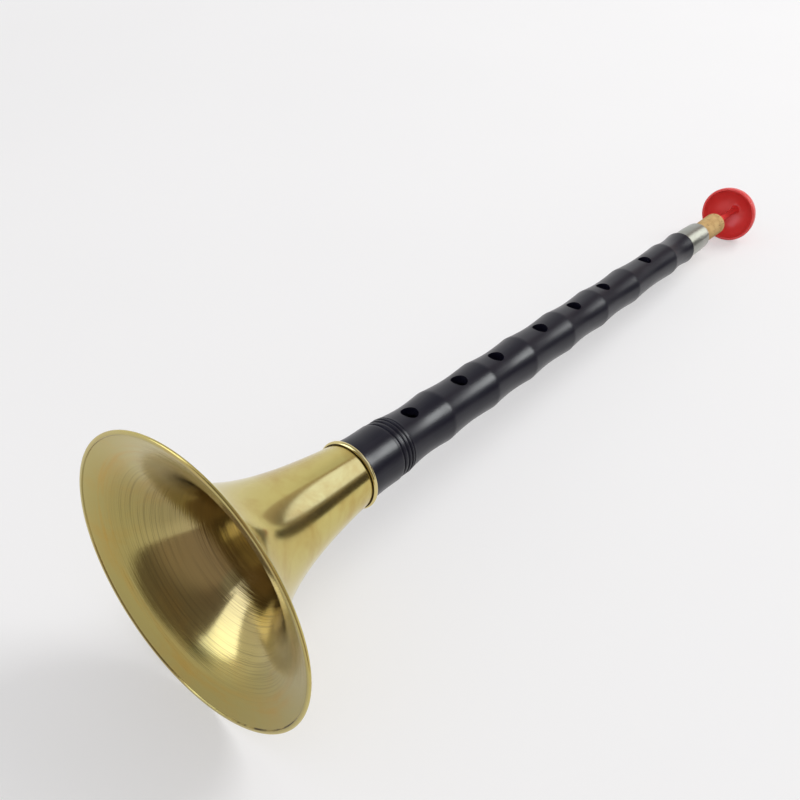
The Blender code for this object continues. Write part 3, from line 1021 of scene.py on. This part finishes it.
def stapleOutline():
    look = stapleShape
    lip = look["bowlWall"] / 2
    rim = look["bowlRim"]
    backDepth = look["bowlDepth"] + look["bowlWall"]
    meet = math.acos((look["nippleRadius"] + look["nippleFoot"]) / look["bowlRadius"])
    steps = look["domeSteps"]
    back = []
    for i in range(steps):
        angle = meet * (1 - i / steps)
        back.append((look["bowlRadius"] * math.cos(angle), rim + lip + (backDepth - lip) * math.sin(angle)))
    edge = arc(look["bowlRadius"] - lip, rim + lip, lip, 0, -180, 14)
    inner = look["bowlRadius"] - look["bowlWall"]
    rootReach = look["stemRadius"] + look["rootRound"]
    rootAngle = math.acos(rootReach / inner)
    inside = []
    for i in range(1, steps + 1):
        angle = rootAngle * i / steps
        inside.append((inner * math.cos(angle), rim + lip + (look["bowlDepth"] - lip) * math.sin(angle)))
    root = arc(rootReach, inside[-1][1] - look["rootRound"], look["rootRound"], 105, 180, 8)
    chamferAcross, chamferAlong = look["shankChamfer"]
    seat = look["tubeStart"] - pipeShape["gap"]
    counterbore = look["tubeRadius"] + pipeShape["gap"]
    stem = [
        (look["stemRadius"], look["corkEnd"] + look["stemFoot"]),
        (look["shankRadius"], look["corkEnd"] + look["collar"]),
        (look["shankRadius"], look["shankEnd"] + chamferAlong),
        (look["shankRadius"] - chamferAcross, look["shankEnd"]),
        (look["boreLow"], look["shankEnd"]),
        (look["boreTop"], seat),
        (counterbore, seat),
        (counterbore, look["nippleEnd"]),
    ]
    tip = look["nippleRound"]
    nipple = arc(look["nippleRadius"] - tip, look["nippleEnd"] - tip, tip, 90, 0, 5)
    return zoned(nipple + back + edge + inside + root + stem)


def makeStaple():
    look = stapleShape
    staple = turned("lipBowl", stapleOutline(), "staple")
    install(staple, "staple", "staple")
    hole = look["tubeRadius"] - look["tubeWall"]
    outline = sleeve(look["tubeStart"], look["tubeEnd"], look["tubeRadius"], hole, look["tubeEdge"])
    tube = turned("tipTube", zoned(outline), "tip_tube", latheSettings["tubeSides"])
    install(tube, "tip_tube", "staple")


makeStapleCork()
makeStaple()
print("suona: cap, cork and staple turned")


# Reed: a cane tube pressed flat to a fan, with its slit open

reedShape = dict(
    root=451.0 * mm,
    length=13.2 * mm,
    radius=2.6 * mm,
    wall=0.8 * mm,
    tipWall=0.42 * mm,
    tipWidth=8.4 * mm,
    tipThickness=1.5 * mm,
    throat=6.3 * mm,
    sides=56,
    steps=22,
)


def reedSections():
    look = reedShape
    sections = [(0.0, look["radius"], look["radius"], look["wall"])]
    for i in range(look["steps"] + 1):
        share = i / look["steps"]
        ease = share * share * (3 - 2 * share)
        station = look["throat"] + (look["length"] - look["throat"]) * share
        halfWidth = look["radius"] + (look["tipWidth"] / 2 - look["radius"]) * ease
        halfThick = look["radius"] + (look["tipThickness"] / 2 - look["radius"]) * ease
        wall = look["wall"] + (look["tipWall"] - look["wall"]) * ease
        sections.append((station, halfWidth, halfThick, wall))
    return sections


def ovalRing(bm, halfWidth, halfThick, station):
    ring = []
    for i in range(reedShape["sides"]):
        angle = 2 * math.pi * i / reedShape["sides"]
        across = halfWidth * math.sin(angle)
        up = halfThick * math.cos(angle)
        ring.append(bm.verts.new(pipeFrame @ Vector((reedShape["root"] + station, across, up))))
    return ring


def makeReed():
    bm = bmesh.new()
    outer = []
    inner = []
    for station, halfWidth, halfThick, wall in reedSections():
        outer.append(ovalRing(bm, halfWidth, halfThick, station))
        inner.append(ovalRing(bm, halfWidth - wall, halfThick - wall, station))
    bands = list(zip(outer, outer[1:])) + list(zip(inner, inner[1:]))
    bands += [(outer[0], inner[0]), (outer[-1], inner[-1])]
    count = reedShape["sides"]
    for near, far in bands:
        for i in range(count):
            j = (i + 1) % count
            bm.faces.new((near[i], near[j], far[j], far[i]))
    bmesh.ops.recalc_face_normals(bm, faces=bm.faces)
    mesh = meshOf(bm, "caneReed")
    mesh.materials.append(finishes["reed"])
    faceOutwards(mesh)
    reed = placed("caneReed", mesh)
    install(shaded(reed, angle=45), "reed", "reed")


makeReed()


# Copper wire round the reed's root, wound by a node tree

windingShape = dict(
    turns=4,
    pitch=0.85 * mm,
    wire=0.4 * mm,
    start=1.2 * mm,
    clearance=0.3 * mm,
    pointsPerTurn=60,
    wireSides=14,
)


def windingTree():
    sockets = dict(Points="Int", Turns="Float", Radius="Float", Height="Float", Wire="Float")
    sockets["Finish"] = "Material"
    tree = openTree("winding", sockets)
    board = Board(tree)
    given = board.node("NodeGroupInput")
    points, turns, radius, height, wire, finish = [board.wire(given, i) for i in range(1, 7)]
    values = {"Resolution": points, "Rotations": turns, "Start Radius": radius, "End Radius": radius}
    values["Height"] = height
    helix = board.wire(board.node("GeometryNodeCurveSpiral", None, values))
    values = {"Resolution": windingShape["wireSides"], "Radius": wire}
    ring = board.wire(board.node("GeometryNodeCurvePrimitiveCircle", None, values))
    values = {"Curve": helix, "Profile Curve": ring, "Fill Caps": True}
    shape = board.wire(board.node("GeometryNodeCurveToMesh", None, values))
    closeTree(board, shape, [("RealizeInstances", {}), ("SetMaterial", {"Material": finish})])
    return tree


def makeWinding():
    look = windingShape
    obj = placed("copperWinding", bpy.data.meshes.new("copperWinding"))
    inputs = {
        "Points": look["pointsPerTurn"],
        "Turns": float(look["turns"]),
        "Radius": reedShape["radius"] + look["clearance"] + look["wire"] / 2,
        "Height": look["turns"] * look["pitch"],
        "Wire": look["wire"] / 2,
        "Finish": finishes["reed_binding"],
    }
    mesh = modified(obj, windingTree(), inputs)
    turnToPipe = Matrix.Rotation(math.pi / 2, 4, "Y")
    place = Matrix.Translation((reedShape["root"] + look["start"], 0.0, 0.0))
    mesh.transform(pipeFrame @ place @ turnToPipe)
    bm = bmesh.new()
    bm.from_mesh(mesh)
    bmesh.ops.remove_doubles(bm, verts=bm.verts, dist=latheSettings["weld"])
    bmesh.ops.recalc_face_normals(bm, faces=bm.faces)
    bm.to_mesh(mesh)
    bm.free()
    faceOutwards(mesh)
    install(shaded(obj, angle=50), "reed_binding", "reed")


makeWinding()
print("suona: reed and winding made")


# Floor

floorLook = dict(
    colour=(0.56, 0.555, 0.558),
    cloudShade=0.985,
    glow=(1.0, 0.995, 1.0),
    roughness=0.55,
    size=4.0,
    lift=0.410,
    fadeStart=0.65,  # metres from the bell, where the floor starts to turn into the backdrop
    fadeEnd=1.9,
    farLevel=0.92,
)


def raysOf(board):
    # 1 for what the camera sees, straight or through glass, and 1 for what a reflection sees
    path = board.node("ShaderNodeLightPath")
    seen = board.wire(path, "Is Camera Ray").most(board.wire(path, "Is Transmission Ray"))
    return seen, board.wire(path, "Is Glossy Ray")


def makeFloor():
    look = floorLook
    half = look["size"]
    mesh = bpy.data.meshes.new("paleFloor")
    corners = [(-half, -half, 0), (half, -half, 0), (half, half, 0), (-half, half, 0)]
    mesh.from_pydata(corners, [], [(0, 1, 2, 3)])
    floor = placed("paleFloor", mesh)
    made = Finish("pale floor")
    cloud = made.noise(made.place, 4.0, 3.0).rise(0.3, 0.7)
    darker = tuple(value * look["cloudShade"] for value in look["colour"])
    away = (made.station * made.station + made.across * made.across).root()
    far = away.rise(look["fadeStart"], look["fadeEnd"])
    colour = made.mixColour(far, made.mixColour(cloud, look["colour"], darker), (0.0, 0.0, 0.0))
    made.set(Base_Color=colour, Roughness=look["roughness"], Specular_IOR_Level=0.0)
    seen, gloss = raysOf(made)
    glow = look["lift"] + far * (look["farLevel"] - look["lift"])
    made.set(Emission_Color=look["glow"], Emission_Strength=seen.most(gloss) * glow)
    mesh.materials.append(made.material)


makeFloor()


# Studio: four soft boxes that show only in gloss, three that only light, and dark flags

studio = dict(
    bell=(-0.20, 0.0, 0.06),
    middle=(-0.05, 0.0, 0.0),
    cap=(0.145, 0.0, 0.06),
    softBoxes=(
        dict(name="leftGloss", aim="bell", azimuth=137, elevation=39, distance=1.25,
             size=(0.72, 1.60), radiance=2.0, slant=13, colour=(0.90, 0.98, 1.22)),
        dict(name="rightGloss", aim="bell", azimuth=-23, elevation=28, distance=2.0,
             size=(1.12, 1.15), radiance=1.20, slant=-20, colour=(0.86, 0.98, 1.55)),
        dict(name="pipeGloss", aim="middle", azimuth=-39, elevation=36, distance=2.0,
             size=(0.56, 0.88), radiance=17.5, slant=-20, colour=(0.97, 1.0, 0.99)),
        dict(name="capGloss", aim="cap", azimuth=-22, elevation=16, distance=1.2,
             size=(0.72, 0.80), radiance=2.3, colour=(0.98, 1.0, 0.95)),
        dict(name="keyBox", aim="middle", azimuth=-26, elevation=45, distance=3.0,
             size=(1.6, 1.6), radiance=5.7),
        dict(name="topBox", aim="middle", azimuth=-70, elevation=78, distance=3.0,
             size=(2.2, 2.2), radiance=0.5),
        dict(name="frontBox", aim="middle", azimuth=-165, elevation=34, distance=3.0,
             size=(2.4, 2.4), radiance=1.6),
    ),
    paleLevel=0.92,
    fillLevel=0.46,
    wallLevel=0.88,
    ceilingLevel=0.40,
    frontLevel=0.08,
    frontSide=(-0.90, -0.44),
    frontFade=(0.40, 0.62),
    ceilingFade=(0.40, 0.80),
    pale=(1.0, 0.995, 0.995),
    cloth=(1.0, 0.84, 0.80),
    flagSteps=24,
)


def direction(azimuth, elevation):
    level = math.cos(math.radians(elevation))
    turn = math.radians(azimuth)
    return Vector((level * math.cos(turn), level * math.sin(turn), math.sin(math.radians(elevation))))


def makeSoftBox(look):
    gloss = look["name"].endswith("Gloss")
    width, height = look["size"]
    lamp = bpy.data.lights.new(look["name"], "AREA")
    lamp.shape = "RECTANGLE"
    lamp.size = width
    lamp.size_y = height
    lamp.energy = look["radiance"] * math.pi * width * height
    lamp.color = look.get("colour", (1.0, 1.0, 1.0))
    obj = placed(look["name"], lamp)
    away = direction(look["azimuth"], look["elevation"])
    obj.location = Vector(studio[look["aim"]]) + away * look["distance"]
    roll = Matrix.Rotation(math.radians(look.get("slant", 0)), 3, "Z")
    obj.rotation_euler = ((-away).to_track_quat("-Z", "Y").to_matrix() @ roll).to_euler()
    obj.visible_glossy = gloss
    obj.visible_diffuse = not gloss


for box in studio["softBoxes"]:
    makeSoftBox(box)

# The brass would burn out under the pipe's light, so these boxes light only the pieces named
litPieces = dict(
    pipeGloss=("turnedPipe", "lipBowl"),
    capGloss=("topCap", "seatCork"),
    rightGloss=("spunBell", "neckBead", "caneReed", "copperWinding", "tipTube", "tenonCork"),
    frontBox=("turnedPipe", "lipBowl", "seatCork", "tenonCork", "caneReed"),
)
for lampName, pieceNames in litPieces.items():
    lit = bpy.data.collections.new(lampName)
    for name in pieceNames:
        lit.objects.link(bpy.data.objects[name])
    bpy.data.objects[lampName].light_linking.receiver_collection = lit


def makeWorld():
    # The gloss sees pale walls, a dimmer ceiling and a dark room in front of the bell
    world = bpy.data.worlds.new("studio")
    world.use_nodes = True
    scene.world = world
    board = Board(world.node_tree)
    seen, gloss = raysOf(board)
    x, y, z = board.split(board.wire(board.node("ShaderNodeTexCoord")))
    frontX, frontY = studio["frontSide"]
    front = (frontX * x + frontY * y).rise(*studio["frontFade"])
    high = z.rise(*studio["ceilingFade"])
    room = studio["wallLevel"] + high * (studio["ceilingLevel"] - studio["wallLevel"])
    room = room + front * (studio["frontLevel"] - room)
    level = studio["fillLevel"] + gloss * (room - studio["fillLevel"])
    level = level + seen * (studio["paleLevel"] - level)
    sky = world.node_tree.nodes["Background"]
    board.plug(sky.inputs["Strength"], level)
    board.plug(sky.inputs["Color"], studio["pale"])


makeWorld()


def flagFinish(look):
    # Dim cloth that glows by itself, and may be paler towards one side
    made = Finish("dark cloth")
    made.tree.nodes.remove(made.shader)
    level = look["level"] + (made.across * look["side"]).rise(*look["fade"]) * look["paler"]
    glow = made.wire(made.node("ShaderNodeEmission", None, {"Color": studio["cloth"], "Strength": level}))
    made.plug(made.tree.nodes["Material Output"].inputs["Surface"], glow)
    return made.material


flags = (
    dict(name="frontFlag", middle=(-0.229, 0.0), reach=0.120, foot=(157, 262), head=(134, 262),
         heights=(0.0, 0.0, 0.33, 0.33), level=0.20, paler=0.22, side=-1, fade=(0.0, 0.07)),
    dict(name="gapFlag", middle=(-0.18, 0.0), reach=2.3, foot=(-50, 7), head=(-50, 7),
         heights=(0.2, 0.2, 2.8, 2.8), level=0.23, paler=0.28, side=1, fade=(-0.45, 0.3)),
    dict(name="rightFlag", middle=(-0.18, 0.0), reach=0.50, foot=(-62, -9), head=(-62, -9),
         heights=(0.0, 0.0, 0.20, 0.065), level=0.08, paler=0.0, side=1, fade=(0.0, 1.0)),
)


def makeFlag(look):
    # A curved upright card, seen by reflections alone
    mesh = bpy.data.meshes.new(look["name"])
    points = []
    steps = studio["flagSteps"]
    lowStart, lowEnd, highStart, highEnd = look["heights"]  # of its foot at both ends, then of its head
    for i in range(steps + 1):
        share = i / steps
        for turn, start, end in ((look["foot"], lowStart, lowEnd), (look["head"], highStart, highEnd)):
            away = direction(turn[0] + (turn[1] - turn[0]) * share, 0.0) * look["reach"]
            height = start + (end - start) * share
            points.append((look["middle"][0] + away.x, look["middle"][1] + away.y, height))
    faces = [(2 * i, 2 * i + 2, 2 * i + 3, 2 * i + 1) for i in range(steps)]
    mesh.from_pydata(points, [], faces)
    card = placed(look["name"], mesh)
    mesh.materials.append(flagFinish(look))
    card.visible_camera = False
    card.visible_diffuse = False
    card.visible_shadow = False


for flag in flags:
    makeFlag(flag)
print("suona: floor, soft boxes and flags set")


# Camera at the photograph's angle

cameraView = dict(
    place=(-0.32307, -0.16396, 0.26586),
    azimuth=39.53,
    elevation=-38.03,
    lens=39.33,
    sensor=36.0,
    clipStart=0.01,
)


def makeCamera():
    look = cameraView
    camera = bpy.data.cameras.new("camera")
    camera.lens = look["lens"]
    camera.sensor_width = look["sensor"]
    camera.sensor_fit = "HORIZONTAL"
    camera.clip_start = look["clipStart"]
    obj = placed("camera", camera)
    obj.location = look["place"]
    obj.rotation_euler = (math.radians(90 + look["elevation"]), 0.0, math.radians(look["azimuth"] - 90))
    scene.camera = obj


makeCamera()
scene.view_settings.view_transform = "Standard"
